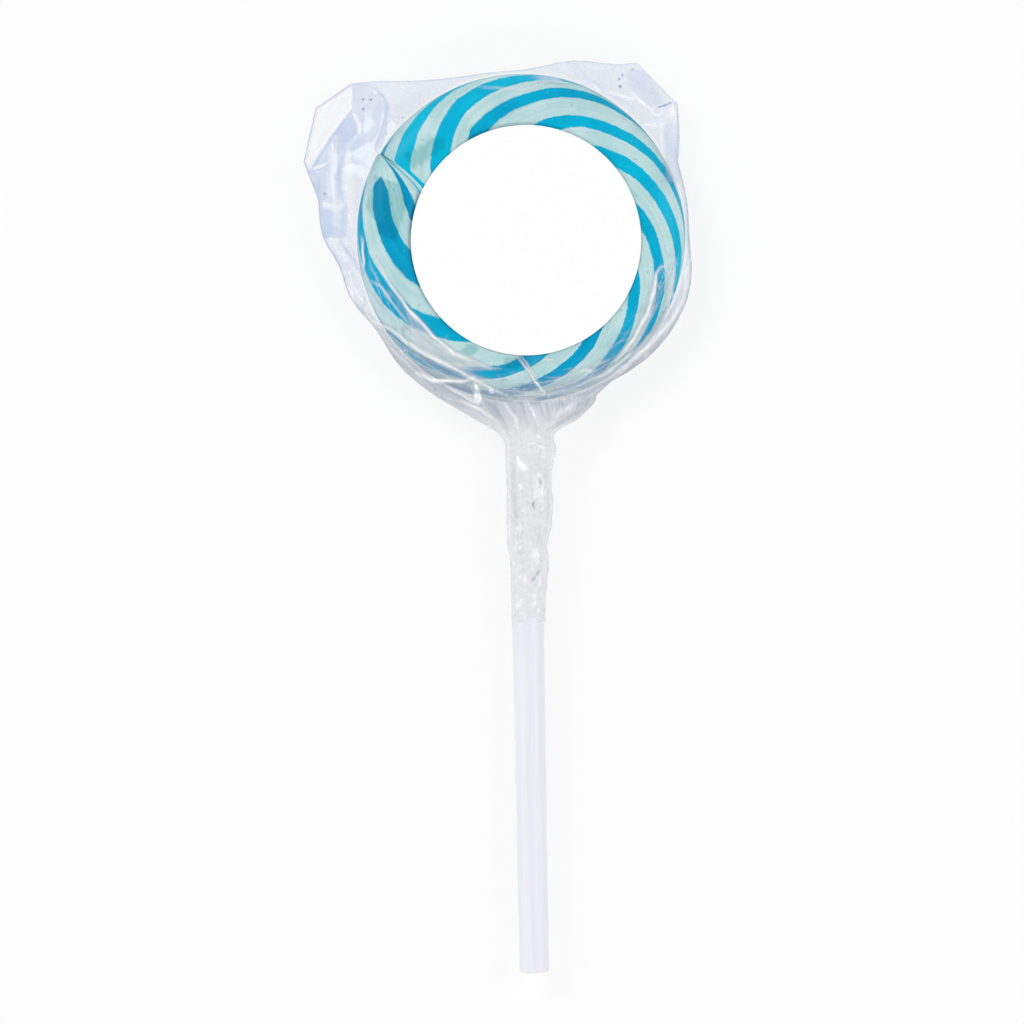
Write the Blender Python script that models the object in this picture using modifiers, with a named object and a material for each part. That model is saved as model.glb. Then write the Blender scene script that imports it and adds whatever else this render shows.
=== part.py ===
"""A swirl lollipop in its clear film bag, with a blank round label, lying on its back.

The candy's axis is the world's Z axis, the shown side faces +Z and the stick points along -Y.
The bag's back rests on the plane z = 0. Sizes below are in millimetres.
"""

import math

import bmesh
import bpy
from mathutils import Matrix

MM = 0.001
GAP = 0.3  # clearance between pieces that touch
FILM = 0.4  # wall of the bag, far thicker than real film so that it is a solid

# The candy: a striped rope wound into a disc and pressed flat.
CANDY_RADIUS = 24.9
ROPE_WIDTH = 8.2
ROPE_RADIUS = 4.4
CANDY_HALF_THICKNESS = 4.3
CORE_HALF_THICKNESS = 3.5
TURNS = 2.75
TIP_ANGLE = math.radians(150)
DIVE_START = 0.90  # how far round each turn the rope steps inwards, in turns
DIVE_END = 1.06
STEPS_PER_TURN = 40

# The stick, slightly tapered towards its free end.
STICK_TOP_Y = -11.0
STICK_END_Y = -112.7
STICK_TOP_RADIUS = 2.6
STICK_END_RADIUS = 2.28
STICK_ROUNDING = 0.4

# The label, stuck on the front of the bag.
LABEL_RADIUS = 17.5
LABEL_THICKNESS = 0.25
LABEL_X = 0.75
LABEL_Y = -0.3

# The bag's outline seen from the front, from the top edge round to the left.
TOP_EDGE = [(1.5, 25.9), (-4.0, 25.5), (-10.0, 24.8), (-16.0, 24.4), (-22.0, 24.4)]
LEFT_EAR = [(-25.6, 24.1), (-31.1, 20.4), (-33.1, 12.2), (-31.0, 6.5), (-30.4, 0.8)]
LEFT_SIDE = [(-27.9, -4.0), (-26.4, -8.6), (-22.4, -13.8), (-19.2, -19.0), (-15.4, -22.6)]
LEFT_GATHER = [(-9.6, -26.6), (-4.2, -29.7), (-3.2, -33.0)]
RIGHT_GATHER = [(4.3, -33.0), (4.7, -30.2), (8.2, -27.8), (10.2, -26.2), (11.0, -24.4)]
RIGHT_SIDE = [(18.9, -18.9), (23.6, -13.4), (25.9, -7.6), (25.8, 0.0), (25.6, 5.0)]
RIGHT_EAR = [(24.3, 11.3), (24.6, 15.0), (24.4, 20.1), (18.3, 26.6), (15.2, 26.4), (8.5, 27.1)]
# The film is folded over at these corners, so its outline runs straight to them.
FOLDED_CORNERS = LEFT_EAR[:4] + RIGHT_EAR[:1] + RIGHT_EAR[2:4]

# The bag's thickness: full over the candy, thin in its two free corners.
EAR_HALF_THICKNESS = 0.9
WEB_START_RADIUS = 25.05
EAR_START_RADIUS = 29.0
BAG_REACH = 42.0

# The gathered film round the stick.
GATHER_TOP_Y = -17.0
GATHER_TOP_HALF_WIDTH = 15.0
GATHER_END_Y = -31.5
NECK_LEFT = -3.25
NECK_RIGHT_EDGE = [
    (-29.0, 4.4), (-31.0, 4.8), (-34.0, 4.5), (-36.5, 4.0), (-40.0, 4.3),
    (-44.0, 3.9), (-47.0, 3.5), (-50.5, 3.7), (-53.0, 3.3), (-60.3, 3.25),
]  # fmt: skip

# Heights above the resting plane.
MIDDLE_Z = FILM + GAP + CANDY_HALF_THICKNESS
BAG_HALF_THICKNESS = MIDDLE_Z
LABEL_Z = MIDDLE_Z + BAG_HALF_THICKNESS + GAP + LABEL_THICKNESS / 2
ROPE_TRACK = CANDY_RADIUS - ROPE_RADIUS
CHANNEL_RADIUS = STICK_TOP_RADIUS + GAP


def clear_scene():
    for obj in list(bpy.data.objects):
        bpy.data.objects.remove(obj, do_unlink=True)


def make_collection(name):
    collection = bpy.data.collections.new(name)
    bpy.context.scene.collection.children.link(collection)
    return collection


def make_material(name, color, roughness, alpha=1.0):
    material = bpy.data.materials.new(name)
    material.use_nodes = True
    shader = material.node_tree.nodes["Principled BSDF"]
    shader.inputs["Base Color"].default_value = (*color, 1.0)
    shader.inputs["Roughness"].default_value = roughness
    shader.inputs["Metallic"].default_value = 0.0
    shader.inputs["Alpha"].default_value = alpha
    return material


def object_from_bmesh(name, mesh_data, collection):
    mesh = bpy.data.meshes.new(name)
    mesh_data.to_mesh(mesh)
    mesh_data.free()
    obj = bpy.data.objects.new(name, mesh)
    collection.objects.link(obj)
    return obj


def mesh_from_curve(name, curve, collection):
    """Turns a curve into a closed mesh object of the same name."""
    holder = bpy.data.objects.new(name + "_curve", curve)
    collection.objects.link(holder)
    bpy.context.view_layer.update()
    graph = bpy.context.evaluated_depsgraph_get()
    mesh = bpy.data.meshes.new_from_object(holder.evaluated_get(graph))
    welded = bmesh.new()
    welded.from_mesh(mesh)
    bmesh.ops.remove_doubles(welded, verts=welded.verts, dist=0.01 * MM)
    bmesh.ops.recalc_face_normals(welded, faces=welded.faces)
    welded.to_mesh(mesh)
    welded.free()
    obj = bpy.data.objects.new(name, mesh)
    obj.matrix_world = holder.matrix_world
    collection.objects.link(obj)
    bpy.data.objects.remove(holder, do_unlink=True)
    bpy.data.curves.remove(curve)
    return obj


def turned(name, profile, steps, collection):
    """Turns a profile of (radius, height) points, given from the top down, about Z."""
    outline = bmesh.new()
    corners = [outline.verts.new((r * MM, 0.0, z * MM)) for r, z in profile]
    for above, below in zip(corners, corners[1:]):
        outline.edges.new((above, below))
    obj = object_from_bmesh(name, outline, collection)
    screw = obj.modifiers.new("Turn", "SCREW")
    screw.axis = "Z"
    screw.angle = math.tau
    screw.steps = steps
    screw.render_steps = steps
    screw.use_merge_vertices = True
    screw.merge_threshold = 0.00001
    return obj


def combine(obj, other, operation, use_self=False):
    modifier = obj.modifiers.new(operation.title() + "_" + other.name, "BOOLEAN")
    modifier.operation = operation
    modifier.object = other
    modifier.solver = "EXACT"
    modifier.use_self = use_self


def make_helper(obj):
    obj.hide_render = True
    obj.display_type = "WIRE"
    return obj


def smooth_shading(obj, angle=math.radians(35)):
    obj.data.shade_smooth()
    obj.data.set_sharp_from_angle(angle=angle)


def pressed_disc_profile(edge_radius, half_thickness):
    """Half of a disc with a round rim whose centre lies on the rope's track, cut off flat."""
    flat_angle = math.asin(min(1.0, half_thickness / edge_radius))
    arc_steps = 10
    profile = [(0.0, MIDDLE_Z + half_thickness)]
    for step in range(arc_steps + 1):
        angle = flat_angle * (1 - 2 * step / arc_steps)
        profile.append(
            (
                ROPE_TRACK + edge_radius * math.cos(angle),
                MIDDLE_Z + edge_radius * math.sin(angle),
            )
        )
    profile.append((0.0, MIDDLE_Z - half_thickness))
    return profile


def smoothstep(value):
    value = min(1.0, max(0.0, value))
    return value * value * (3 - 2 * value)


def rope_track_radius(turn):
    """Distance of the rope's middle from the candy's axis, after so many turns from its tip."""
    inward = 0.0
    for step in (0, 1):
        inward += smoothstep((turn - step - DIVE_START) / (DIVE_END - DIVE_START))
    return ROPE_TRACK - ROPE_WIDTH * inward


def make_rope(collection):
    count = int(TURNS * STEPS_PER_TURN)
    curve = bpy.data.curves.new("rope_line", "CURVE")
    curve.dimensions = "3D"
    curve.bevel_depth = ROPE_RADIUS * MM
    curve.bevel_resolution = 3
    curve.use_fill_caps = True
    spline = curve.splines.new("POLY")
    spline.points.add(count)
    for index, point in enumerate(spline.points):
        turn = index / STEPS_PER_TURN
        radius = rope_track_radius(turn)
        angle = TIP_ANGLE + math.tau * turn
        x = radius * math.cos(angle)
        y = radius * math.sin(angle)
        point.co = (x * MM, y * MM, MIDDLE_Z * MM, 1.0)
    return mesh_from_curve("rope", curve, collection)


def make_stick_channel(name, radius, top_y, end_y, collection):
    """A cylinder along -Y that clears the stick."""
    channel = bmesh.new()
    bmesh.ops.create_cone(
        channel,
        cap_ends=True,
        segments=32,
        radius1=radius * MM,
        radius2=radius * MM,
        depth=(top_y - end_y) * MM,
    )
    along_y = Matrix.Rotation(math.radians(90), 4, "X")
    place = Matrix.Translation((0.0, (top_y + end_y) / 2 * MM, MIDDLE_Z * MM))
    bmesh.ops.transform(channel, matrix=place @ along_y, verts=channel.verts)
    return make_helper(object_from_bmesh(name, channel, collection))


def make_candy(parts, helpers):
    """The wound rope, fused to a core and pressed flat front and back."""
    core_profile = [
        (0.0, MIDDLE_Z + CORE_HALF_THICKNESS),
        (ROPE_TRACK, MIDDLE_Z + CORE_HALF_THICKNESS),
        (ROPE_TRACK, MIDDLE_Z - CORE_HALF_THICKNESS),
        (0.0, MIDDLE_Z - CORE_HALF_THICKNESS),
    ]
    candy = turned("candy", core_profile, 72, parts)
    rope = make_helper(make_rope(helpers))
    combine(candy, rope, "UNION", use_self=True)
    press_profile = [
        (0.0, MIDDLE_Z + CANDY_HALF_THICKNESS),
        (BAG_REACH, MIDDLE_Z + CANDY_HALF_THICKNESS),
        (BAG_REACH, MIDDLE_Z - CANDY_HALF_THICKNESS),
        (0.0, MIDDLE_Z - CANDY_HALF_THICKNESS),
    ]
    press = make_helper(turned("press", press_profile, 24, helpers))
    combine(candy, press, "INTERSECT")
    socket = make_stick_channel(
        "socket", CHANNEL_RADIUS, STICK_TOP_Y + GAP, -CANDY_RADIUS - 5.0, helpers
    )
    combine(candy, socket, "DIFFERENCE")
    candy.data.materials.append(make_material("candy", (0.25, 0.66, 0.72), 0.2))
    smooth_shading(candy)
    return candy


def make_stick(parts):
    length = STICK_TOP_Y - STICK_END_Y
    profile = [
        (0.0, 0.0),
        (STICK_TOP_RADIUS, 0.0),
        (STICK_END_RADIUS, STICK_ROUNDING - length),
        (STICK_END_RADIUS - STICK_ROUNDING, -length),
        (0.0, -length),
    ]
    stick = turned("stick", profile, 40, parts)
    stick.rotation_euler = (math.radians(-90), 0.0, 0.0)
    stick.location = (0.0, STICK_TOP_Y * MM, MIDDLE_Z * MM)
    stick.data.materials.append(make_material("stick", (0.81, 0.82, 0.88), 0.35))
    smooth_shading(stick)
    return stick


def make_label(parts):
    disc = bmesh.new()
    bmesh.ops.create_cone(
        disc,
        cap_ends=True,
        segments=96,
        radius1=LABEL_RADIUS * MM,
        radius2=LABEL_RADIUS * MM,
        depth=LABEL_THICKNESS * MM,
    )
    label = object_from_bmesh("label", disc, parts)
    label.location = (LABEL_X * MM, LABEL_Y * MM, LABEL_Z * MM)
    label.data.materials.append(make_material("label", (1.0, 1.0, 1.0), 0.5))
    smooth_shading(label)
    return label


def make_bag_outline(collection):
    """The bag's outline as a prism that is taller than the bag."""
    outline = TOP_EDGE + LEFT_EAR + LEFT_SIDE + LEFT_GATHER
    outline += RIGHT_GATHER + RIGHT_SIDE + RIGHT_EAR
    curve = bpy.data.curves.new("bag_outline_line", "CURVE")
    curve.dimensions = "2D"
    curve.fill_mode = "BOTH"
    curve.extrude = 2 * BAG_HALF_THICKNESS * MM
    curve.resolution_u = 3
    spline = curve.splines.new("BEZIER")
    spline.bezier_points.add(len(outline) - 1)
    spline.use_cyclic_u = True
    for point, (x, y) in zip(spline.bezier_points, outline):
        point.co = (x * MM, y * MM, 0.0)
        folded = (x, y) in FOLDED_CORNERS
        point.handle_left_type = "VECTOR" if folded else "AUTO"
        point.handle_right_type = "VECTOR" if folded else "AUTO"
    prism = mesh_from_curve("bag_outline", curve, collection)
    prism.location.z = MIDDLE_Z * MM
    return make_helper(prism)


def make_gather(collection):
    """The film drawn together from the candy's lower edge to the stick, an elliptical cone."""
    neck_radius = (NECK_RIGHT_EDGE[1][1] - NECK_LEFT) / 2
    neck_x = (NECK_RIGHT_EDGE[1][1] + NECK_LEFT) / 2
    rings = ((GATHER_TOP_Y, GATHER_TOP_HALF_WIDTH), (GATHER_END_Y, neck_radius))
    (top_y, top_half), (end_y, end_half) = rings
    cone = bmesh.new()
    bmesh.ops.create_cone(
        cone,
        cap_ends=True,
        segments=40,
        radius1=top_half * MM,
        radius2=end_half * MM,
        depth=(top_y - end_y) * MM,
    )
    along_y = Matrix.Rotation(math.radians(90), 4, "X")
    bmesh.ops.transform(cone, matrix=along_y, verts=cone.verts)
    middle_y = (top_y + end_y) / 2
    for vertex in cone.verts:
        at_end = vertex.co.y < 0
        half_width = end_half if at_end else top_half
        half_height = end_half if at_end else BAG_HALF_THICKNESS - GAP
        vertex.co.z *= half_height / half_width
        vertex.co.x += neck_x * MM if at_end else 0.0
        vertex.co.y += middle_y * MM
        vertex.co.z += MIDDLE_Z * MM
    return make_helper(object_from_bmesh("gather", cone, collection))


def make_neck(collection):
    """The crumpled film round the stick, a tube whose width changes along it."""
    curve = bpy.data.curves.new("neck_line", "CURVE")
    curve.dimensions = "3D"
    curve.bevel_depth = MM
    curve.bevel_resolution = 6
    curve.use_fill_caps = True
    spline = curve.splines.new("POLY")
    spline.points.add(len(NECK_RIGHT_EDGE) - 1)
    for point, (y, right) in zip(spline.points, NECK_RIGHT_EDGE):
        point.co = ((right + NECK_LEFT) / 2 * MM, y * MM, MIDDLE_Z * MM, 1.0)
        point.radius = (right - NECK_LEFT) / 2
    return make_helper(mesh_from_curve("neck", curve, collection))


def make_wrapper(parts, helpers):
    """The bag: a pillow over the candy with two flat free corners, gathered on the stick."""
    rim = ROPE_RADIUS + GAP + FILM
    pillow_profile = [
        (radius, z)
        for radius, z in pressed_disc_profile(rim, BAG_HALF_THICKNESS)
        if radius < WEB_START_RADIUS
    ]
    middle = len(pillow_profile) // 2
    pillow_profile[middle:middle] = [
        (EAR_START_RADIUS, MIDDLE_Z + EAR_HALF_THICKNESS),
        (BAG_REACH, MIDDLE_Z + EAR_HALF_THICKNESS),
        (BAG_REACH, MIDDLE_Z - EAR_HALF_THICKNESS),
        (EAR_START_RADIUS, MIDDLE_Z - EAR_HALF_THICKNESS),
    ]
    wrapper = turned("wrapper", pillow_profile, 96, parts)
    combine(wrapper, make_bag_outline(helpers), "INTERSECT")
    combine(wrapper, make_gather(helpers), "UNION")
    combine(wrapper, make_neck(helpers), "UNION")
    candy_space_profile = pressed_disc_profile(ROPE_RADIUS + GAP, CANDY_HALF_THICKNESS + GAP)
    candy_space = make_helper(turned("candy_space", candy_space_profile, 96, helpers))
    combine(wrapper, candy_space, "DIFFERENCE")
    channel = make_stick_channel(
        "stick_channel", CHANNEL_RADIUS, -ROPE_TRACK, NECK_RIGHT_EDGE[-1][0] - 5.0, helpers
    )
    combine(wrapper, channel, "DIFFERENCE")
    wrapper.data.materials.append(make_material("wrapper", (0.85, 0.88, 0.95), 0.1, alpha=0.3))
    smooth_shading(wrapper)
    return wrapper


def main():
    clear_scene()
    parts = make_collection("swirl_lollipop")
    helpers = make_collection("helpers")
    make_candy(parts, helpers)
    make_stick(parts)
    make_label(parts)
    make_wrapper(parts, helpers)


main()
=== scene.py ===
"""The looks of the swirl lollipop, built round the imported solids.

The candy's striped rope, its paper label, its stick and the creased film bag are modelled here.
Lengths are in millimetres until a mesh is made. The candy's axis is x = y = 0, the shown side
faces +Z and the stick points along -Y.
"""

import math
from types import SimpleNamespace

import bpy
import numpy as np
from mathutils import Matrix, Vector, noise


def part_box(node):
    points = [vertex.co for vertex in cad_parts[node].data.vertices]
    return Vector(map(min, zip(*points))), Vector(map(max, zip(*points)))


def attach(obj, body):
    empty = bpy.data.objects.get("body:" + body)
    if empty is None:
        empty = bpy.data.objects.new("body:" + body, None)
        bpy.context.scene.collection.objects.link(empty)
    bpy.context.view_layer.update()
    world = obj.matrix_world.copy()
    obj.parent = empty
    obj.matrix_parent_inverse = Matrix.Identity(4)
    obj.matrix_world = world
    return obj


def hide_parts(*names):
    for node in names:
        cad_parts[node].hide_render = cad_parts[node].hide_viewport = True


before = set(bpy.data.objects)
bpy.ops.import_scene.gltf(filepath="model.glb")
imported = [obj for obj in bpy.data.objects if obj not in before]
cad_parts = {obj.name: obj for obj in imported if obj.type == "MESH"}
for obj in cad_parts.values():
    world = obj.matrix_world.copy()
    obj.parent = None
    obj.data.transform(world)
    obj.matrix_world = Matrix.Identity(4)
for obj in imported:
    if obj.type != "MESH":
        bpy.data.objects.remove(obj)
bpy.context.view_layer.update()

MM = 0.001

# Places and sizes that the solids give.
CANDY_LOW, CANDY_HIGH = (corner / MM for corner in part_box("candy"))
LABEL_LOW, LABEL_HIGH = (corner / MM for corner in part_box("label"))
BAG_LOW, BAG_HIGH = (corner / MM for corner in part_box("wrapper"))
STICK_LOW, STICK_HIGH = (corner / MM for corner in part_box("stick"))
MIDDLE_Z = (CANDY_LOW.z + CANDY_HIGH.z) / 2
CANDY_RADIUS = CANDY_HIGH.x
STICK_RADIUS = (STICK_HIGH.x - STICK_LOW.x) / 2
LABEL_RADIUS = (LABEL_HIGH.x - LABEL_LOW.x) / 2
LABEL_MIDDLE = (LABEL_LOW + LABEL_HIGH) / 2

# The candy's rope.
EDGE_RADIUS = CANDY_RADIUS + 0.3
HALF_THICKNESS = 4.3
TIP_ANGLE = 150.0  # degrees, where the rope's outer end lies
FIRST_TURN = -0.0045
LAST_TURN = 2.85
PLACES_PER_TURN = 541
PLACES_ACROSS = 34
# Where the rope's outer edge steps inwards: (turn, by how much, over how many turns).
DIVES = ((0.995, 9.1, 0.0095), (1.90, 8.0, 0.12), (2.85, 7.6, 0.12))
GROOVE_DEPTH = 0.8
SEAM_DEPTH = 0.14  # of the groove beside the rope's tip
GROOVE_REACH = 1.7
RIM_REACH = 4.7
RIM_POWER = 2.3
CROWN = 0.22
WOBBLE = 0.12
TIP_FLARE = 0.3

# The blue strands of the outer turn, from the tip on: (degrees where each crosses the rope's
# crest, degrees of width there, how bright it is from 0 to 1).
STRANDS = (
    (106, 12, 0.4), (139, 9, 0.1), (168, 21, 0.3), (210, 20, 0.6), (257.5, 15, 0.4),
    (286, 13, 0.3), (318.5, 13, 0.55), (348, 13, 0.6), (380.5, 15, 0.8), (409.5, 13, 0.7),
    (446, 14, 0.5), (477.5, 20, 0.9), (515, 16, 0.9),
)  # fmt: skip
STRAND_SPACING = 33.0  # degrees, on the inner turns
STRAND_WIDTH = 14.0
# How far a strand has turned about the candy by each share of the rope's width, from the crest.
TWIST_SHARES = (0.0, 0.02, 0.055, 0.12, 0.22, 0.39, 0.565, 0.74, 1.0)
TWIST_DEGREES = (-50.0, -40.0, -31.0, -22.5, -12.5, 0.0, 12.0, 22.0, 34.0)

# Patches where the film clings to the candy and darkens it, as corners in millimetres.
CLINGING = (
    [(-17.6, 13.1), (-15.2, 13.8), (-13.4, 15.3), (-11.1, 15.5), (-11.4, 13.7), (-16.5, 10.4)],
    [(-22.1, 9.6), (-18.4, 8.5), (-17.2, 5.4), (-19.3, -0.4), (-21.4, 0.9), (-23.6, 5.2)],
    [(-2.3, -23.0), (0.0, -22.4), (1.8, -22.8), (1.6, -23.7), (-1.6, -23.9)],
    [(-9.8, -17.2), (-7.6, -16.2), (-6.6, -17.0), (-7.8, -18.0)],
    [(-3.0, -18.5), (0.2, -18.0), (0.8, -19.3), (-0.8, -20.0), (-3.0, -20.1)],
)  # fmt: skip

# The label, which lies on the film.
LABEL_THICKNESS = 0.06
LABEL_GAP = 0.03
LABEL_OVERSIZE = 0.07
LABEL_SHIFT_Y = -0.25

# The stick.
STICK_END_SHARE = 0.877  # of the radius at its thick end
STICK_ROUNDING = 0.55

# The film bag.
FILM_CLEARANCE = 0.14
FRONT_COLUMNS, BACK_COLUMNS = 340, 80
HEAD_ROWS, LOWER_ROWS, NECK_ROWS = 240, 111, 129
# Left and right edges of the film round the stick: (y, left x, right x).
NECK_EDGES = (
    (-24.0, -13.4, 12.2), (-26.2, -10.0, 10.1), (-28.0, -7.1, 8.2), (-29.4, -4.6, 5.4),
    (-30.2, -3.7, 4.5), (-31.2, -3.0, 4.5), (-32.3, -2.96, 4.85),
    (-34.0, -3.0, 4.5), (-36.0, -2.9, 4.05), (-38.4, -2.9, 4.0), (-40.4, -2.95, 4.25),
    (-44.0, -3.0, 3.9), (-47.6, -2.85, 3.1), (-48.9, -2.65, 3.35), (-50.4, -2.5, 3.3),
    (-54.0, -2.5, 2.9), (-60.5, -2.5, 2.65),
)  # fmt: skip
TANGENT_RADIUS = 23.6  # where the film leaves the candy
EDGE_THICKNESS = 0.14
# How wide the line of painted shade along the film's outline is.
EDGE_SHADE_WIDTH = 0.17
LEFT_CORNER_Y = 20.6
RIGHT_CORNER_Y = 20.1
STRAIGHT_ROW_Y = -15.0
GATHER_START_Y = -19.0
NECK_START_Y = -31.5
NECK_END_Y = BAG_LOW.y + 0.4
GATHER_HALF_HEIGHTS = ((NECK_START_Y, 3.9), (-24.0, 4.3), (-15.0, 4.4))  # (y, half height)


# ---------------------------------------------------------------- helpers


def smoothstep(value):
    value = np.clip(value, 0.0, 1.0)
    return value * value * (3 - 2 * value)


def noise_at(points, scale, seed=0.0):
    """Perlin noise in about -1 to 1 at each point, with features of the given size."""
    shift = Vector((seed * 17.3, seed * 5.1, seed * 9.7))
    return np.array([noise.noise(Vector(p) / scale + shift) for p in points])


def as_points(*columns):
    return np.stack(np.broadcast_arrays(*columns), axis=-1).reshape(-1, 3)


def grid_quads(rows, columns, closed=False):
    """Quads of a grid of points held row by row. A closed grid's last column meets its first."""
    row = np.arange(rows - 1)[:, None]
    column = np.arange(columns if closed else columns - 1)[None, :]
    after = (column + 1) % columns
    corners = (
        row * columns + column,
        row * columns + after,
        (row + 1) * columns + after,
        (row + 1) * columns + column,
    )
    return np.stack(np.broadcast_arrays(*corners), axis=-1).reshape(-1, 4)


def capped_faces(rows, columns):
    """Faces of a row of closed rings with a cap at each end."""
    faces = grid_quads(rows, columns, closed=True).tolist()
    faces.append(list(range(columns))[::-1])
    faces.append([(rows - 1) * columns + k for k in range(columns)])
    return faces


def mesh_piece(name, points, faces, material, values=None):
    """A smooth mesh from points in millimetres, riding on the one body."""
    mesh = bpy.data.meshes.new(name)
    mesh.from_pydata((points * MM).tolist(), [], [tuple(face) for face in faces])
    for key, numbers in (values or {}).items():
        attribute = mesh.attributes.new(key, "FLOAT", "POINT")
        attribute.data.foreach_set("value", np.asarray(numbers, np.float32))
    mesh.shade_smooth()
    mesh.materials.append(material)
    piece = bpy.data.objects.new(name, mesh)
    bpy.context.scene.collection.objects.link(piece)
    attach(piece, "root")
    return piece


def distance_to_line(x, y, line):
    """Distance from points to a line of straight stretches, and how far along they are."""
    best = np.full(x.shape, 1e9)
    place = np.zeros(x.shape)
    line = np.array(line, float)
    lengths = np.hypot(*np.diff(line, axis=0).T)
    total = lengths.sum()
    walked = 0.0
    for (ax, ay), (bx, by), length in zip(line[:-1], line[1:], lengths):
        dx, dy = bx - ax, by - ay
        share = np.clip(((x - ax) * dx + (y - ay) * dy) / length**2, 0, 1)
        gap = np.hypot(x - ax - share * dx, y - ay - share * dy)
        nearer = gap < best
        best = np.where(nearer, gap, best)
        place = np.where(nearer, (walked + share * length) / total, place)
        walked += length
    return best, place


def inside_corners(x, y, corners, softness):
    """1 inside a region with straight sides and 0 outside it, changing over the softness."""
    inside = np.zeros(x.shape, bool)
    for (ax, ay), (bx, by) in zip(corners, corners[1:] + corners[:1]):
        if ay != by:
            level = (y >= min(ay, by)) & (y < max(ay, by))
            inside ^= level & (x < ax + (y - ay) * (bx - ax) / (by - ay))
    gap, _ = distance_to_line(x, y, corners + corners[:1])
    return smoothstep(np.where(inside, gap, -gap) / softness + 0.5)


class Nodes:
    """Short calls for building a material's node tree."""

    def __init__(self, name):
        self.material = bpy.data.materials.new(name)
        self.material.use_nodes = True
        self.tree = self.material.node_tree
        self.shader = self.tree.nodes["Principled BSDF"]

    def add(self, kind, **settings):
        node = self.tree.nodes.new(kind)
        for key, value in settings.items():
            setattr(node, key, value)
        return node

    def link(self, source, target):
        self.tree.links.new(source, target)

    def attribute(self, name):
        return self.add("ShaderNodeAttribute", attribute_name=name).outputs["Fac"]

    def place(self):
        return self.add("ShaderNodeTexCoord").outputs["Object"]

    def math(self, operation, *terms, clamp=False):
        node = self.add("ShaderNodeMath", operation=operation, use_clamp=clamp)
        for socket, term in zip(node.inputs, terms):
            if isinstance(term, (int, float)):
                socket.default_value = term
            else:
                self.link(term, socket)
        return node.outputs[0]

    def noise(self, size_mm, detail=2.0, roughness=0.5, vector=None):
        node = self.add("ShaderNodeTexNoise")
        node.inputs["Scale"].default_value = 1.0 / (size_mm * MM)
        node.inputs["Detail"].default_value = detail
        node.inputs["Roughness"].default_value = roughness
        self.link(vector or self.place(), node.inputs["Vector"])
        return node.outputs["Fac"]

    def remap(self, value, low, high, out_low=0.0, out_high=1.0, smooth=False):
        node = self.add("ShaderNodeMapRange")
        if smooth:
            node.interpolation_type = "SMOOTHSTEP"
        for key, number in zip((1, 2, 3, 4), (low, high, out_low, out_high)):
            node.inputs[key].default_value = number
        self.link(value, node.inputs[0])
        return node.outputs[0]

    def mix(self, factor, first, second, blend="MIX"):
        node = self.add("ShaderNodeMix", data_type="RGBA", blend_type=blend)
        for key, term in (("Factor", factor), ("A", first), ("B", second)):
            sockets = [s for s in node.inputs if s.name == key and s.enabled]
            if isinstance(term, (tuple, float, int)):
                sockets[0].default_value = term
            else:
                self.link(term, sockets[0])
        return next(s for s in node.outputs if s.enabled)

    def bump(self, height, strength, distance_mm):
        node = self.add("ShaderNodeBump")
        node.inputs["Strength"].default_value = strength
        node.inputs["Distance"].default_value = distance_mm * MM
        self.link(height, node.inputs["Height"])
        self.link(node.outputs["Normal"], self.shader.inputs["Normal"])


def linear(red, green, blue):
    """An sRGB colour of 0 to 255 as linear values with alpha."""
    channels = [value / 255 for value in (red, green, blue)]
    return (
        *(c / 12.92 if c <= 0.04045 else ((c + 0.055) / 1.055) ** 2.4 for c in channels),
        1.0,
    )


BLUE_DEEP = linear(0, 138, 186)
BLUE_BRIGHT = linear(0, 184, 217)
WHITE_AQUA = linear(172, 210, 212)
WHITE_PALE = linear(196, 222, 224)
# The film's colours: bluish and grey ones that its painted shade deepens towards, dark for the
# specks, and white for its painted highlights.
FILM_BLUE = linear(152, 180, 224)
FILM_DARK = linear(60, 62, 70)
FILM_GREY = linear(142, 156, 178)
FILM_HIGHLIGHT_WHITE = linear(255, 255, 255)


# ---------------------------------------------------------------- camera, lamps and floor


def make_camera():
    """Straight above, turned so that the stick leans as it does in the reference view."""
    view_width = 157.1
    distance = 900.0
    lean = math.radians(1.05)
    data = bpy.data.cameras.new("camera")
    data.sensor_width = 36.0
    data.lens = data.sensor_width * distance / view_width
    data.clip_end = 10.0
    camera = bpy.data.objects.new("camera", data)
    camera.location = Vector((-2.15, -42.0, MIDDLE_Z + distance)) * MM
    camera.rotation_euler = (0.0, 0.0, -lean)
    bpy.context.scene.collection.objects.link(camera)
    bpy.context.scene.camera = camera


def make_lamp(name, place, target, size, power):
    data = bpy.data.lights.new(name, "AREA")
    data.shape = "RECTANGLE"
    data.size, data.size_y = (length * MM for length in size)
    data.energy = power
    lamp = bpy.data.objects.new(name, data)
    lamp.location = Vector(place) * MM
    aim = (Vector(target) - Vector(place)).to_track_quat("-Z", "Y")
    lamp.rotation_euler = aim.to_euler()
    bpy.context.scene.collection.objects.link(lamp)


def make_lamps():
    middle = (0.0, -20.0, 5.0)
    make_lamp("key", (-420.0, 330.0, 560.0), middle, (330.0, 330.0), 2.6)
    make_lamp("fill", (480.0, 60.0, 480.0), middle, (300.0, 420.0), 1.75)
    make_lamp("front", (40.0, -560.0, 420.0), middle, (420.0, 260.0), 1.4)
    make_lamp("strip", (-520.0, -160.0, 300.0), middle, (40.0, 420.0), 0.45)


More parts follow.
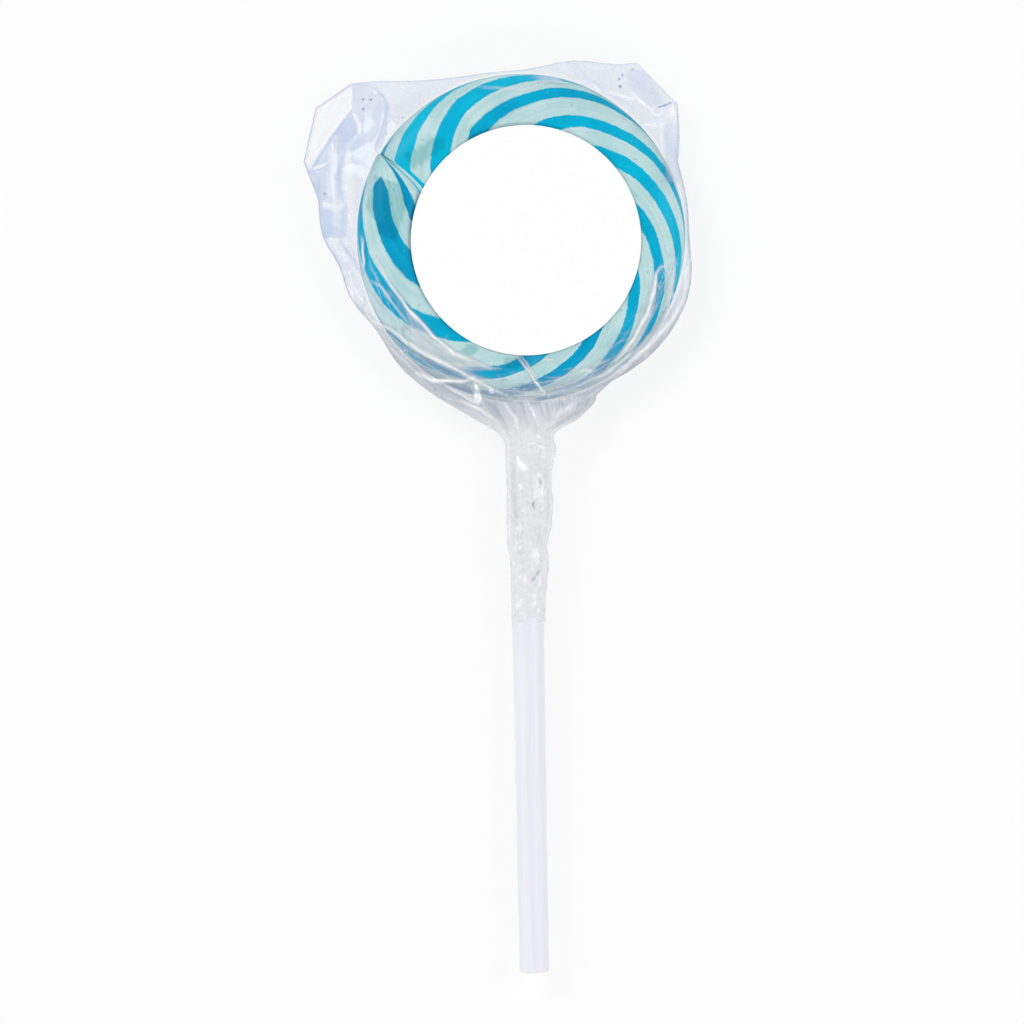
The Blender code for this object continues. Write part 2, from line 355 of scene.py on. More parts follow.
def make_world():
    """White at the horizon, darker overhead, and plain white to the camera."""
    world = bpy.data.worlds.new("studio")
    world.use_nodes = True
    bpy.context.scene.world = world
    tree = world.node_tree
    background = tree.nodes["Background"]
    direction = tree.nodes.new("ShaderNodeTexCoord")
    split = tree.nodes.new("ShaderNodeSeparateXYZ")
    tree.links.new(direction.outputs["Generated"], split.inputs[0])
    fall = tree.nodes.new("ShaderNodeMapRange")
    for key, number in zip((1, 2, 3, 4), (0.1, 0.85, 0.85, 0.08)):
        fall.inputs[key].default_value = number
    tree.links.new(split.outputs["Z"], fall.inputs[0])
    path = tree.nodes.new("ShaderNodeLightPath")
    seen = tree.nodes.new("ShaderNodeMath")
    seen.operation = "MAXIMUM"
    tree.links.new(path.outputs["Is Camera Ray"], seen.inputs[0])
    tree.links.new(path.outputs["Is Transmission Ray"], seen.inputs[1])
    level = tree.nodes.new("ShaderNodeMix")
    tree.links.new(seen.outputs[0], level.inputs["Factor"])
    tree.links.new(fall.outputs[0], level.inputs["A"])
    level.inputs["B"].default_value = 1.0
    tree.links.new(level.outputs["Result"], background.inputs["Strength"])
    background.inputs["Color"].default_value = (1.0, 1.0, 1.0, 1.0)


def make_floor():
    """A pale floor that looks white and still holds a soft shadow."""
    nodes = Nodes("floor")
    tree = nodes.tree
    nodes.shader.inputs["Base Color"].default_value = (0.9, 0.9, 0.9, 1.0)
    nodes.shader.inputs["Roughness"].default_value = 0.9
    nodes.shader.inputs["Specular IOR Level"].default_value = 0.0
    glow = nodes.add("ShaderNodeEmission")
    glow.inputs["Color"].default_value = (1.0, 1.0, 1.0, 1.0)
    path = nodes.add("ShaderNodeLightPath")
    seen = nodes.math("MAXIMUM", path.outputs["Is Camera Ray"], path.outputs["Is Glossy Ray"])
    seen = nodes.math("MAXIMUM", seen, path.outputs["Is Transmission Ray"])
    share = nodes.math("MULTIPLY", seen, 0.8)
    blend = nodes.add("ShaderNodeMixShader")
    nodes.link(share, blend.inputs[0])
    nodes.link(nodes.shader.outputs[0], blend.inputs[1])
    nodes.link(glow.outputs[0], blend.inputs[2])
    nodes.link(blend.outputs[0], tree.nodes["Material Output"].inputs["Surface"])
    size = 3000.0
    corners = np.array([(-1, -1, 0), (1, -1, 0), (1, 1, 0), (-1, 1, 0)]) * size
    mesh = bpy.data.meshes.new("floor")
    mesh.from_pydata((corners * MM).tolist(), [], [(0, 1, 2, 3)])
    mesh.materials.append(nodes.material)
    floor = bpy.data.objects.new("floor", mesh)
    bpy.context.scene.collection.objects.link(floor)


# ---------------------------------------------------------------- candy


def outer_edge(turn):
    """Radius of the rope's outer edge after so many turns from its tip."""
    edge = np.full_like(turn, EDGE_RADIUS)
    for start, drop, length in DIVES:
        edge = edge - drop * (1 - np.exp(-np.maximum(turn - start, 0.0) / length))
    return edge


def rope_turns():
    """Places along the rope, the same in every turn, close together where it dives."""
    seam = np.linspace(FIRST_TURN, -10 * FIRST_TURN, 64)
    fractions = np.unique(np.concatenate([np.linspace(0, 1, PLACES_PER_TURN), seam % 1.0]))
    turns = np.concatenate([fractions + whole for whole in (-1, 0, 1, 2)])
    turns = np.unique(np.round(turns, 6))
    return turns[(turns >= FIRST_TURN) & (turns <= LAST_TURN)]


def crown_height(from_outer, from_inner, rim, groove_depth):
    """Height of the rope's top above the middle plane. rim is 1 where the outer edge is free."""
    width = from_outer + from_inner
    across = np.clip(from_outer / np.maximum(width, 0.01), 0.0, 1.0)
    inner = np.clip(1 - from_inner / GROOVE_REACH, 0, 1) ** 2
    outer = np.clip(1 - from_outer / GROOVE_REACH, 0, 1) ** 2
    fall = np.clip(1 - from_outer / RIM_REACH, 0, 1) ** RIM_POWER
    rim_drop = HALF_THICKNESS * (1 - (1 - fall) ** (1 / RIM_POWER))
    crowned = CROWN * (2 * across - 1) ** 2
    height = HALF_THICKNESS - crowned * (1 - rim * (across < 0.5))
    return height - groove_depth * (inner + outer * (1 - rim)) - rim_drop * rim


def strand_values(turns, share):
    """Strand count, blue half-width and brightness on the rope's top and on its bottom.

    The rope's length is counted in degrees of its outer turn, so that the strands are equally
    long on every turn.
    """
    middle = (outer_edge(turns) + outer_edge(turns + 1)) / 2
    stretch = middle / middle[np.searchsorted(turns, 0.5)]
    steps = np.diff(turns) * 360 * (stretch[1:] + stretch[:-1]) / 2
    length = TIP_ANGLE + np.concatenate([[0.0], np.cumsum(steps)])
    more = np.arange(1, 30)
    crests = np.append([strand[0] for strand in STRANDS], STRANDS[-1][0] + more * STRAND_SPACING)
    widths = np.append([strand[1] for strand in STRANDS], more * 0 + STRAND_WIDTH)
    bright = np.append([strand[2] for strand in STRANDS], 0.5 + 0.35 * np.sin(more * 2.2))
    halves = widths / np.gradient(crests) / 2
    twist = np.interp(share, TWIST_SHARES, TWIST_DEGREES)
    below = 2 * TWIST_DEGREES[0] - twist
    place = length[:, None] - np.concatenate([twist, below[::-1]])[None, :]
    counts = np.arange(len(crests))
    count = np.interp(place, crests, counts)
    # The first strand begins a little way in from the tip's point.
    both = np.concatenate([share, share[::-1]])[None, :]
    from_tip = smoothstep((length[:, None] - TIP_ANGLE - 5) / 8)
    started = np.maximum(from_tip, smoothstep((both - 0.35) / 0.2))
    return {
        "count": count.ravel(),
        "half": (halves[np.rint(count).astype(int)] * started - 0.1 * (1 - started)).ravel(),
        "bright": bright[np.rint(count).astype(int)].ravel(),
    }


def candy_material():
    nodes = Nodes("candy")
    place = nodes.place()
    ragged = nodes.noise(1.1, detail=3.0, roughness=0.7)
    wander = nodes.noise(7.0, detail=1.0)
    count = nodes.attribute("count")
    shifted = nodes.math("ADD", count, nodes.remap(ragged, 0, 1, -0.05, 0.05))
    shifted = nodes.math("ADD", shifted, nodes.remap(wander, 0.2, 0.8, -0.05, 0.05))
    centred = nodes.math("FRACT", nodes.math("ADD", shifted, 0.5))
    from_blue = nodes.math("ABSOLUTE", nodes.math("SUBTRACT", centred, 0.5))
    past_edge = nodes.math("SUBTRACT", from_blue, nodes.attribute("half"))
    soft = nodes.remap(nodes.noise(6.0, detail=0.0), 0.35, 0.65, 0.022, 0.07)
    blue = nodes.remap(nodes.math("DIVIDE", past_edge, soft), -0.5, 0.5, 1.0, 0.0, smooth=True)

    # Pulled sugar has faint streaks along its strands, so tone follows the strand count.
    streak = nodes.add("ShaderNodeTexNoise")
    streak.noise_dimensions = "2D"
    streak.inputs["Scale"].default_value = 1.0
    streak.inputs["Detail"].default_value = 2.0
    vector = nodes.add("ShaderNodeCombineXYZ")
    nodes.link(nodes.math("MULTIPLY", shifted, 7.0), vector.inputs["X"])
    nodes.link(vector.outputs[0], streak.inputs["Vector"])
    cloud = nodes.noise(5.0, detail=2.0)
    tone = nodes.math("MULTIPLY", streak.outputs["Fac"], 0.4)
    tone = nodes.math("ADD", tone, nodes.math("MULTIPLY", cloud, 0.6))
    tone = nodes.remap(tone, 0.35, 0.65, smooth=True)
    variation = nodes.remap(tone, 0.0, 1.0, -0.16, 0.16)
    bright = nodes.math("ADD", nodes.attribute("bright"), variation, clamp=True)
    blues = nodes.mix(bright, BLUE_DEEP, BLUE_BRIGHT)
    whites = nodes.mix(tone, WHITE_AQUA, WHITE_PALE)
    color = nodes.mix(blue, whites, blues)
    speck = nodes.noise(0.7, detail=0.0)
    speck = nodes.remap(speck, 0.76, 0.81, 0.0, 0.35, smooth=True)
    color = nodes.mix(speck, color, linear(110, 170, 172))
    color = nodes.mix(nodes.attribute("cling"), color, (0.62, 0.80, 0.80, 1.0), "MULTIPLY")
    nodes.link(color, nodes.shader.inputs["Base Color"])
    nodes.shader.inputs["Roughness"].default_value = 0.36
    nodes.shader.inputs["Specular IOR Level"].default_value = 0.08
    nodes.shader.inputs["Subsurface Weight"].default_value = 0.08
    nodes.shader.inputs["Subsurface Scale"].default_value = 0.0012
    nodes.shader.inputs["Subsurface Radius"].default_value = (0.4, 0.9, 1.0)
    nodes.bump(nodes.noise(2.4, detail=1.0, vector=place), 0.08, 0.2)
    return nodes.material


def rope_rings(turns, share):
    """The rope's cross-sections, each from the outer edge over the top and back below."""
    outer = outer_edge(turns)
    inner = np.minimum(outer_edge(turns + 1), outer - 0.05)
    angle = np.radians(TIP_ANGLE + 360 * turns)
    circle = as_points(np.cos(angle), np.sin(angle), turns * 0)
    wobble = WOBBLE * noise_at(circle, 0.45, 3) * (turns < 1)
    tip = np.exp(-np.maximum(turns, 0) / 0.04)
    outer = outer + wobble + TIP_FLARE * tip
    rim = smoothstep((outer - 22.9) / 1.6)
    radius = outer[:, None] + (inner - outer)[:, None] * share[None, :]
    from_outer = outer[:, None] - radius
    from_inner = radius - inner[:, None]
    from_seam = np.minimum(np.abs(turns), np.abs(turns - 1))
    groove_depth = GROOVE_DEPTH - (GROOVE_DEPTH - SEAM_DEPTH) * np.exp(-((from_seam / 0.035) ** 2))
    height = crown_height(from_outer, from_inner, rim[:, None], groove_depth[:, None])
    height = np.maximum(height, 0.0)

    def side(sign):
        x = radius * np.cos(angle)[:, None]
        y = radius * np.sin(angle)[:, None]
        flat = as_points(x, y, np.full_like(x, 5.0 * sign))
        bumps = noise_at(flat, 6.0, 1).reshape(x.shape) * 0.07
        z = MIDDLE_Z + sign * (height + bumps * (height > 2))
        return np.stack([x, y, z], axis=-1)

    return np.concatenate([side(1.0), side(-1.0)[:, ::-1]], axis=1)


def make_candy():
    """The rope as one long strip of cross-sections, wound from its tip to the middle."""
    turns = rope_turns()
    share = (1 - np.cos(np.linspace(0, np.pi, PLACES_ACROSS))) / 2
    rings = rope_rings(turns, share)
    faces = capped_faces(*rings.shape[:2])
    values = strand_values(turns, share)
    x, y, z = np.moveaxis(rings, -1, 0)
    cling = [inside_corners(x, y, corners, 0.35) for corners in CLINGING]
    values["cling"] = (np.max(cling, axis=0) * (z > MIDDLE_Z)).ravel()
    points = rings.reshape(-1, 3)
    candy = mesh_piece("candy_swirl", points, faces, candy_material(), values)
    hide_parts("candy")


# ---------------------------------------------------------------- label and stick


def paper_material():
    nodes = Nodes("label_paper")
    fibre = nodes.noise(0.35, detail=3.0, roughness=0.7)
    color = nodes.mix(nodes.remap(fibre, 0.3, 0.7), (0.93, 0.93, 0.93, 1), (0.97, 0.97, 0.97, 1))
    nodes.link(color, nodes.shader.inputs["Base Color"])
    nodes.shader.inputs["Roughness"].default_value = 0.55
    nodes.shader.inputs["Specular IOR Level"].default_value = 0.25
    nodes.bump(fibre, 0.08, 0.05)
    return nodes.material


def make_label():
    """A thin paper disc that lies on the film."""
    rings, spokes = 40, 144
    lift = MIDDLE_Z + HALF_THICKNESS + FILM_CLEARANCE + LABEL_GAP
    radius = np.linspace(0.02, 1.0, rings) * (LABEL_RADIUS + LABEL_OVERSIZE)
    angle = np.linspace(0, math.tau, spokes, endpoint=False)
    x = LABEL_MIDDLE.x + radius[:, None] * np.cos(angle)[None, :]
    y = LABEL_MIDDLE.y + LABEL_SHIFT_Y + radius[:, None] * np.sin(angle)[None, :]
    waves = np.abs(noise_at(as_points(x, y, x * 0), 9.0, 8)).reshape(x.shape) * 0.02
    upper = np.stack([x, y, lift + LABEL_THICKNESS + waves], axis=-1)
    edge = upper[-1:].copy()
    edge[..., :2] += (edge[..., :2] - np.array(LABEL_MIDDLE.xy)) * 0.001
    edge[..., 2] -= LABEL_THICKNESS / 2
    lower = upper[::-1].copy()
    lower[..., 2] -= LABEL_THICKNESS
    sheet = np.concatenate([upper, edge, lower])
    faces = [face[::-1] for face in capped_faces(len(sheet), spokes)]
    label = mesh_piece("label_disc", sheet.reshape(-1, 3), faces, paper_material())
    label.data.set_sharp_from_angle(angle=math.radians(50))
    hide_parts("label")


def stick_material():
    nodes = Nodes("stick_plastic")
    place = nodes.place()
    stretch = nodes.add("ShaderNodeMapping")
    stretch.inputs["Scale"].default_value = (1.0, 0.03, 1.0)
    nodes.link(place, stretch.inputs["Vector"])
    streak = nodes.noise(0.5, detail=2.0, vector=stretch.outputs[0])
    color = nodes.mix(
        nodes.remap(streak, 0.3, 0.7), linear(229, 230, 238), linear(235, 236, 243)
    )
    nodes.link(color, nodes.shader.inputs["Base Color"])
    nodes.shader.inputs["Roughness"].default_value = 0.38
    nodes.shader.inputs["Specular IOR Level"].default_value = 0.4
    nodes.shader.inputs["Subsurface Weight"].default_value = 0.1
    nodes.shader.inputs["Subsurface Scale"].default_value = 0.001
    nodes.bump(streak, 0.1, 0.05)
    return nodes.material


def make_stick():
    """A smooth turned stick with a softly rounded free end."""
    spokes = 64
    length = STICK_HIGH.y - STICK_LOW.y
    straight = length - STICK_ROUNDING
    bend = np.linspace(0, math.pi / 2, 8)[1:]
    along = np.append(np.linspace(0, straight, 60), straight + STICK_ROUNDING * np.sin(bend))
    radius = STICK_RADIUS * (1 + (STICK_END_SHARE - 1) * along / length)
    radius[-len(bend):] -= STICK_ROUNDING * (1 - np.cos(bend))
    angle = np.linspace(0, math.tau, spokes, endpoint=False)
    x = radius[:, None] * np.cos(angle)
    z = MIDDLE_Z + radius[:, None] * np.sin(angle)
    y = np.broadcast_to((STICK_HIGH.y - along)[:, None], x.shape)
    points = np.stack([x, y, z], axis=-1).reshape(-1, 3)
    faces = [face[::-1] for face in capped_faces(len(along), spokes)]
    stick = mesh_piece("stick_rod", points, faces, stick_material())
    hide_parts("stick")


# ---------------------------------------------------------------- film bag


def solid_edges(name):
    """The edges of a CAD node as pairs of points in millimetres."""
    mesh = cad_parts[name].data
    points = np.array([vertex.co for vertex in mesh.vertices]) / MM
    return points[np.array([edge.vertices for edge in mesh.edges])]


def crossings(edges, axis, level):
    """Where edges cross a plane: the other horizontal coordinate of each crossing."""
    a, b = edges[:, 0], edges[:, 1]
    crossing = (a[:, axis] - level) * (b[:, axis] - level) <= 0
    a, b = a[crossing], b[crossing]
    rise = b[:, axis] - a[:, axis]
    share = (level - a[:, axis]) / np.where(np.abs(rise) < 1e-9, 1e-9, rise)
    share = np.clip(share, 0, 1)
    return a[:, 1 - axis] + share * (b[:, 1 - axis] - a[:, 1 - axis])


def reach_by_direction(edges, count=360):
    """How far the bag's outline lies from the candy's axis, in each direction."""
    reach = np.zeros(count)
    for index, direction in enumerate(np.linspace(0, math.tau, count, endpoint=False)):
        turn = np.array([[math.cos(direction), math.sin(direction)],
                         [-math.sin(direction), math.cos(direction)]])
        turned = edges[..., :2] @ turn.T
        reach[index] = crossings(turned, 1, 0.0).max()
    return reach


# What shows in the front film, in millimetres. Haze is how solid the film looks there, from 0 to
# 1, and tone is painted light and shade, from 0 for a fold in painted grey shade to 1 for a
# painted white highlight.
# Flat facets and veils: (corners, softness, haze, tone); the tone paints each facet lit white or
# shaded grey.
FACETS = (
    # left free corner: the turned-over facet, a painted highlight, and the doubled film and the
    # rounded fold beside it, in painted shade
    ([(-30.9, 20.1), (-25.5, 23.8), (-25.5, 20.3), (-29.2, 15.2), (-32.1, 11.2), (-32.9, 12.2)],
     0.25, 0.14, 1.0),
    ([(-25.6, 20.1), (-32.1, 11.0), (-30.8, 6.4), (-30.2, 0.5), (-26.9, 0.5), (-26.9, 7.0),
      (-24.4, 12.0), (-24.2, 18.0)], 0.3, 0.64, 0.16),
    ([(-25.4, 24.0), (-23.0, 24.1), (-20.9, 22.2), (-20.1, 20.4), (-20.4, 18.0), (-21.6, 13.8),
      (-24.0, 10.0), (-24.4, 16.0), (-25.4, 19.6)], 0.25, 0.50, 0.22),
    ([(-27.2, 10.0), (-26.2, 14.6), (-25.4, 10.2), (-25.6, 2.0), (-26.3, 2.0)], 0.8, 0.30, 0.75),
    ([(-32.1, 11.1), (-30.6, 11.7), (-29.4, 12.0), (-30.4, 11.2)], 0.3, 0.55, 1.0),
    # right free corner: its looped fold and a band in painted shade, and small facets with painted
    # highlights
    ([(17.0, 22.8), (16.4, 24.6), (17.2, 25.6), (19.2, 25.5), (20.2, 23.6), (22.4, 20.4),
      (20.2, 19.9), (18.6, 21.0)], 0.3, 0.46, 0.20),
    ([(22.4, 8.0), (22.2, 16.9), (24.4, 17.4), (24.5, 8.0)], 0.5, 0.48, 0.15),
    ([(23.0, 19.5), (23.8, 19.9), (24.0, 18.1), (23.4, 18.4)], 0.2, 0.5, 1.0),
    ([(21.2, 18.2), (21.8, 19.2), (22.3, 19.1), (21.7, 18.1)], 0.2, 0.5, 0.95),
    # lower right: the veil inside the long loop, milky film with a painted sheen
    ([(20.5, -5.8), (20.5, -9.4), (19.9, -12.2), (18.4, -15.4), (15.6, -18.0), (14.0, -19.4),
      (16.4, -16.0), (18.0, -12.8), (19.3, -9.4)], 0.5, 0.66, 0.62),
    # lower left: veils over the candy, milky film with a painted sheen
    ([(-18.5, -9.4), (-16.9, -11.2), (-15.4, -13.0), (-13.6, -15.2), (-15.2, -15.0),
      (-17.0, -13.2)], 0.3, 0.60, 0.70),
    ([(-17.2, -13.2), (-14.0, -15.2), (-10.4, -17.2), (-7.0, -19.2), (-3.4, -20.1),
      (-8.4, -20.4), (-12.6, -19.3), (-15.4, -17.8), (-17.2, -16.0)], 0.7, 0.62, 0.72),
    ([(-24.0, -5.6), (-22.6, -9.4), (-18.4, -13.4), (-20.6, -13.4), (-23.6, -10.6)],
     0.6, 0.22, 0.7),
    # the star and its facets: painted highlights, and two facets in painted shade
    ([(-7.6, -21.6), (-6.9, -23.0), (-6.4, -24.5), (-6.9, -25.6), (-7.9, -25.1), (-7.5, -23.6)],
     0.25, 0.85, 1.0),
    ([(-13.2, -22.0), (-8.2, -22.4), (-7.8, -24.0), (-10.4, -23.4)], 0.25, 0.62, 0.15),
    ([(-14.0, -21.6), (-10.6, -23.6), (-7.6, -25.4), (-7.9, -24.4), (-10.4, -23.2)],
     0.3, 0.80, 0.95),
    ([(-5.4, -22.9), (-4.6, -23.1), (-4.6, -23.9), (-5.3, -23.8)], 0.3, 0.7, 0.95),
    ([(0.4, -24.8), (1.4, -26.6), (2.3, -29.2), (1.6, -27.8), (0.9, -26.4)], 0.2, 0.95, 1.0),
    ([(3.4, -29.6), (9.8, -25.6), (8.0, -27.6)], 0.8, 0.55, 0.22),
    # the neck's one flat facet, a painted highlight
    ([(-1.5, -33.2), (-0.3, -34.4), (0.5, -35.5), (-0.4, -35.9), (-1.2, -34.8)], 0.2, 0.95, 1.0),
)  # fmt: skip
# Folds: (line, width, haze, tone). A high tone paints a highlight along the fold and a low one
# painted shade; below 0 it takes the specks' dark colour.
CREASES = (
    ([(-31.2, 20.3), (-25.4, 24.0)], 0.25, 0.5, 0.15),
    ([(-25.5, 20.2), (-29.2, 15.2), (-32.2, 11.0)], 0.28, 0.55, 0.1),
    ([(-25.4, 24.0), (-25.3, 20.0)], 0.25, 0.45, 0.2),
    ([(-22.9, 24.0), (-20.7, 22.0), (-20.1, 20.3), (-20.6, 17.2), (-21.7, 13.8)], 0.3, 0.55, 0.12),
    ([(-25.3, 19.6), (-24.5, 17.8), (-24.3, 15.8)], 0.3, 0.5, 1.0),
    ([(-32.4, 10.6), (-30.4, 11.0)], 0.25, 0.5, 0.1),
    ([(-28.4, 15.6), (-28.7, 9.0), (-28.2, 3.0)], 0.5, 0.45, 0.7),
    ([(-26.8, 7.0), (-26.9, 0.6)], 0.3, 0.5, 0.2),
    ([(-30.6, 5.6), (-28.0, 5.2), (-26.8, 5.8)], 0.5, 0.4, 0.75),
    ([(8.4, 27.0), (10.4, 24.4), (12.8, 22.4), (16.0, 20.4), (17.8, 19.0)], 0.3, 0.45, 0.35),
    ([(12.4, 22.2), (15.4, 21.5), (18.3, 20.8)], 0.25, 0.5, 0.95),
    ([(16.8, 22.7), (18.2, 21.0), (19.6, 19.8), (21.0, 18.7)], 0.32, 0.75, 1.0),
    ([(16.2, 26.8), (16.4, 24.6), (17.0, 22.8)], 0.3, 0.45, 0.6),
    ([(19.9, 25.2), (20.8, 22.2), (21.8, 20.2)], 0.4, 0.45, 0.3),
    ([(18.2, 17.0), (22.2, 17.1), (24.5, 17.9)], 0.25, 0.45, 0.75),
    ([(21.8, 16.8), (21.7, 12.4)], 0.3, 0.45, 0.85),
    ([(21.2, 19.6), (22.3, 19.9), (23.5, 20.4)], 0.13, 0.8, -0.4),
    ([(-6.2, 23.1), (0.3, 22.4), (6.4, 24.1)], 0.25, 0.35, 0.9),
    ([(2.4, 24.4), (5.4, 24.1), (7.2, 23.4)], 0.5, 0.35, 0.9),
    # lower right
    ([(14.0, -19.4), (17.0, -15.8), (19.0, -12.2), (20.2, -8.8), (20.5, -6.2), (21.2, -5.0),
      (21.9, -5.0), (22.4, -6.0)], 0.25, 0.7, 1.0),
    ([(22.4, -6.0), (22.8, -9.0), (22.0, -12.0), (20.4, -14.8), (17.4, -17.6)], 0.28, 0.45, 0.75),
    ([(25.4, -7.0), (24.6, -10.0), (22.9, -12.9), (19.6, -16.6), (13.4, -21.4)], 0.4, 0.6, 0.95),
    ([(24.6, -7.6), (23.4, -11.0), (20.2, -15.0), (15.6, -19.4), (10.0, -22.6)], 0.25, 0.5, 0.2),
    ([(21.8, -12.0), (20.4, -14.2), (17.6, -17.4), (12.4, -21.2), (5.2, -24.0)], 0.25, 0.45, 0.85),
    ([(4.6, -27.6), (8.4, -25.0)], 0.45, 0.55, 0.85),
    # over the candy's lower edge
    ([(-1.1, -18.0), (-0.3, -19.0), (0.9, -20.7), (1.8, -22.3), (3.0, -23.7), (3.7, -24.4)],
     0.2, 0.8, 1.0),
    ([(-0.4, -18.0), (0.5, -19.2), (1.7, -21.2), (2.5, -22.4)], 0.14, 0.6, 0.95),
    ([(-2.4, -23.4), (0.4, -23.9), (3.4, -24.2), (9.4, -23.4)], 0.25, 0.4, 0.8),
    ([(2.2, -19.6), (3.2, -18.8), (4.6, -18.9), (5.5, -19.6)], 0.2, 0.35, 0.9),
    # lower left
    ([(-28.0, 0.2), (-25.9, -2.6), (-24.4, -5.2)], 0.25, 0.5, 0.1),
    ([(-24.3, 0.6), (-24.1, -4.8)], 0.2, 0.7, 1.0),
    ([(-22.3, -2.8), (-20.4, -6.6), (-18.4, -9.4), (-16.2, -12.0), (-13.4, -15.2), (-10.5, -17.6),
      (-5.0, -20.0)], 0.28, 0.7, 1.0),
    ([(-23.4, -6.0), (-21.4, -7.4), (-19.0, -10.8), (-17.0, -13.4)], 0.2, 0.45, 0.9),
    ([(-24.0, -11.6), (-20.0, -13.9), (-16.0, -17.0), (-12.6, -18.9), (-9.0, -20.8), (-5.0, -23.0),
      (-2.0, -24.6)], 0.3, 0.65, 0.95),
    ([(-23.4, -12.6), (-19.4, -15.4), (-15.8, -18.0), (-12.0, -19.7)], 0.2, 0.5, 0.2),
    ([(-22.4, -13.4), (-19.0, -17.4), (-14.0, -21.8), (-6.0, -26.8), (-3.4, -29.0)],
     0.3, 0.55, 0.25),
    ([(-16.4, -20.4), (-13.6, -21.7), (-9.0, -21.9), (-7.5, -21.3)], 0.28, 0.85, 1.0),
    ([(-9.6, -24.8), (-6.4, -26.4), (-3.8, -28.6)], 0.3, 0.6, 0.95),
    ([(-6.4, -25.0), (-4.2, -26.6), (-2.6, -29.2)], 0.25, 0.6, 0.2),
    ([(-3.0, -25.2), (-1.4, -27.6), (-0.8, -30.4)], 0.3, 0.55, 0.9),
    # the neck's folds
    ([(-1.7, -32.4), (-1.9, -36.4), (-1.6, -43.0), (-1.2, -48.0), (-0.8, -50.6)], 0.5, 0.6, 0.6),
    ([(3.4, -31.0), (3.2, -36.0), (3.4, -41.0), (2.9, -46.0), (2.4, -49.0)], 0.4, 0.6, 0.65),
    ([(1.9, -51.0), (0.6, -52.8)], 0.16, 0.8, 0.0),
    ([(-0.3, -51.6), (-0.35, -53.0)], 0.2, 0.9, 1.0),
    ([(1.9, -52.0), (1.8, -53.6)], 0.2, 0.85, 1.0),
    ([(-0.4, -57.6), (-0.45, -59.0)], 0.2, 0.9, 1.0),
    ([(1.5, -40.0), (1.0, -41.0), (1.3, -41.6)], 0.16, 0.75, 0.0),
    ([(2.1, -37.0), (2.4, -38.0)], 0.2, 0.75, 0.0),
)  # fmt: skip
# Small dark specks trapped in the film: (x, y, radius).
SPECKS = (
    (-23.8, 21.6, 0.17), (-22.6, 21.5, 0.15), (-23.8, 20.1, 0.16), (-17.8, 18.6, 0.12),
    (-20.3, 16.2, 0.10), (15.6, 22.8, 0.22), (15.5, 24.0, 0.16), (16.0, 24.6, 0.14),
    (17.6, 25.5, 0.12), (21.7, 19.7, 0.13), (22.4, 19.9, 0.13), (23.3, 20.3, 0.14),
    (-30.0, 7.3, 0.14), (13.3, 26.7, 0.12),
)  # fmt: skip


def film_material():
    nodes = Nodes("film")
    haze = nodes.attribute("haze")
    raw_tone = nodes.attribute("tone")
    neck = nodes.attribute("neck")
    cloud = nodes.remap(nodes.noise(2.0, detail=3.0, roughness=0.6), 0.3, 0.7, 0.85, 1.15)
    grain = nodes.remap(nodes.noise(0.55, detail=2.0, roughness=0.6), 0.3, 0.7, -1.0, 1.0)
    grain = nodes.math("MULTIPLY", grain, neck)
    facing = nodes.add("ShaderNodeLayerWeight")
    facing.inputs["Blend"].default_value = 0.5
    edge = nodes.math("POWER", facing.outputs["Facing"], 4.0)
    alpha = nodes.math("MULTIPLY", haze, cloud)
    edge = nodes.math("MULTIPLY", edge, nodes.math("MULTIPLY", haze, 2.5, clamp=True))
    alpha = nodes.math("ADD", alpha, nodes.math("MULTIPLY", edge, 0.35))
    alpha = nodes.math("ADD", alpha, nodes.math("MULTIPLY", grain, 0.03), clamp=True)
    nodes.link(alpha, nodes.shader.inputs["Alpha"])
    tone = nodes.math("ADD", raw_tone, nodes.math("MULTIPLY", grain, 0.04), clamp=True)
    # The colour runs from the film's shade colour to white by the tone, which paints its
    # highlights and shade; below 0 the tone gives the specks' dark colour.
    shade = nodes.mix(nodes.attribute("drawn"), FILM_BLUE, FILM_GREY)
    shade = nodes.mix(nodes.remap(raw_tone, -0.5, 0.0), FILM_DARK, shade)
    nodes.link(nodes.mix(tone, shade, FILM_HIGHLIGHT_WHITE), nodes.shader.inputs["Base Color"])
    nodes.shader.inputs["Roughness"].default_value = 0.16
    nodes.shader.inputs["Specular IOR Level"].default_value = 0.6
    nodes.bump(nodes.noise(1.1, detail=2.0), 0.10, 0.2)
    return nodes.material


def bag_rows():
    """Heights of the left and right ends of each row of the bag, from its top edge down."""
    head = np.linspace(0, 1, HEAD_ROWS)
    left = LEFT_CORNER_Y + (STRAIGHT_ROW_Y - LEFT_CORNER_Y) * head
    right = RIGHT_CORNER_Y + (STRAIGHT_ROW_Y - RIGHT_CORNER_Y) * head
    lower = np.linspace(STRAIGHT_ROW_Y, NECK_START_Y, LOWER_ROWS + 1)[1:]
    neck = np.linspace(NECK_START_Y, NECK_END_Y, NECK_ROWS + 1)[1:]
    bulge = np.clip(1 - head / 0.75, 0, 1) ** 1.3
    bulge = np.concatenate([bulge, lower * 0, neck * 0])
    return np.concatenate([left, lower, neck]), np.concatenate([right, lower, neck]), bulge


